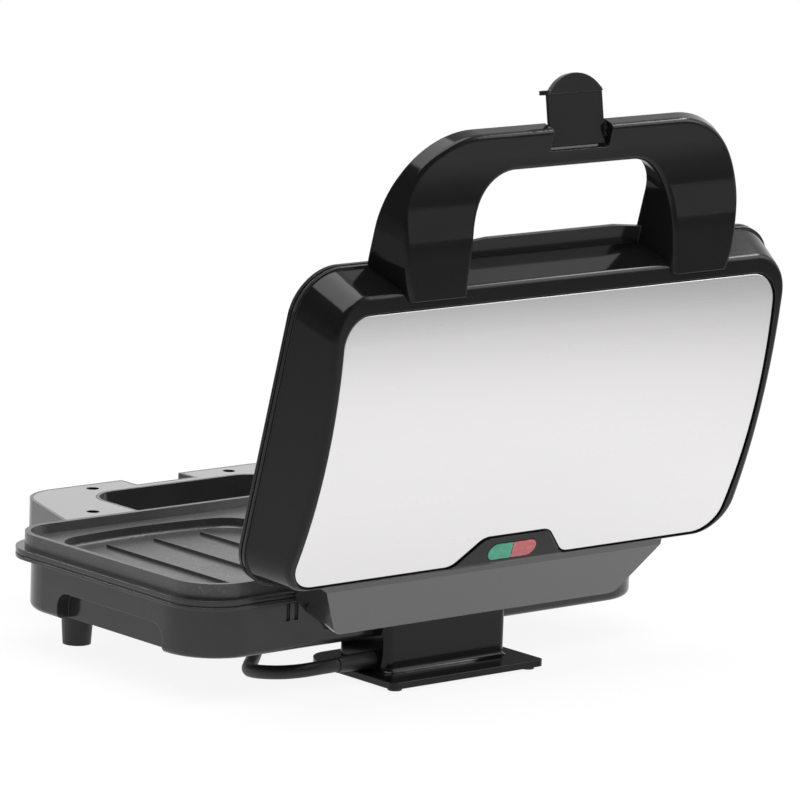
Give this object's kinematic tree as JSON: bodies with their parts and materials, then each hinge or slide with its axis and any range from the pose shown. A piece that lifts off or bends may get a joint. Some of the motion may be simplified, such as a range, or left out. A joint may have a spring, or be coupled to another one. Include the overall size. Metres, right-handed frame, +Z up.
{
  "type": "sandwich maker",
  "caption": "Electric sandwich maker standing open: nonstick baking plates, hinged lid with a steel top, looped handles, swinging latch, rear stand and cord.",
  "frame": {"origin": "on the table, under the middle of the open appliance without its cord", "axes": "+X across to the right seen from the handles, handles towards -Y, hinge towards +Y, +Z up"},
  "size_m": [0.3908, 0.3376, 0.2773],
  "materials": {
    "black_plastic": "moulded, glossy",
    "black_matte": "moulded, fine grain",
    "nonstick": "cast, dark speckled nonstick coating",
    "steel": "satin brushed",
    "screw_steel": "plated",
    "tin_plate": "thin pressed sheet",
    "heater_steel": "drawn tube",
    "ceramic": "pale moulding",
    "pad_rubber": "matte",
    "cord_rubber": "smooth",
    "pin_brass": "nickel plated",
    "green_lamp": "clear tinted",
    "red_lamp": "clear tinted"
  },
  "bodies": {
    "base": {"base_shell": "black_plastic", "bottom_cover": "black_matte", "bottom_cover_screws": "screw_steel", "front_feet": "black_matte", "lower_plate": "nonstick", "lower_heating_element": "heater_steel", "lower_heat_shield": "tin_plate", "thermostat": "ceramic", "thermal_fuse": "heater_steel", "terminal_block": "ceramic", "base_handle": "black_plastic", "base_handle_cover": "black_plastic", "base_handle_screws": "screw_steel", "rear_stand": "black_plastic", "stand_pads": "pad_rubber", "strain_relief": "cord_rubber", "hinge_pins": "screw_steel", "power_cord": "cord_rubber", "power_cord_coil": "cord_rubber", "cord_tie": "black_matte", "plug_body": "cord_rubber", "plug_pins": "pin_brass"},
    "lid": {"lid_shell": "black_plastic", "lid_top_panel": "steel", "lid_handle": "black_plastic", "hinge_cover": "black_plastic", "upper_plate": "nonstick", "upper_heating_element": "heater_steel", "upper_heat_shield": "tin_plate", "green_lens": "green_lamp", "red_lens": "red_lamp", "lamp_holder": "ceramic", "latch_pin": "screw_steel"},
    "latch": {"latch": "black_plastic"}
  },
  "joints": [
    {"name": "lid_hinge", "type": "hinge", "parent": "base", "child": "lid", "pos_m": [0, 0.07839, 0.0454], "axis": [1, 0, 0], "range_deg": [0, 104.9]},
    {"name": "latch_pivot", "type": "hinge", "parent": "lid", "child": "latch", "pos_m": [0, 0.14126, 0.24981], "axis": [1, 0, 0], "range_deg": [0, 66]}
  ]
}
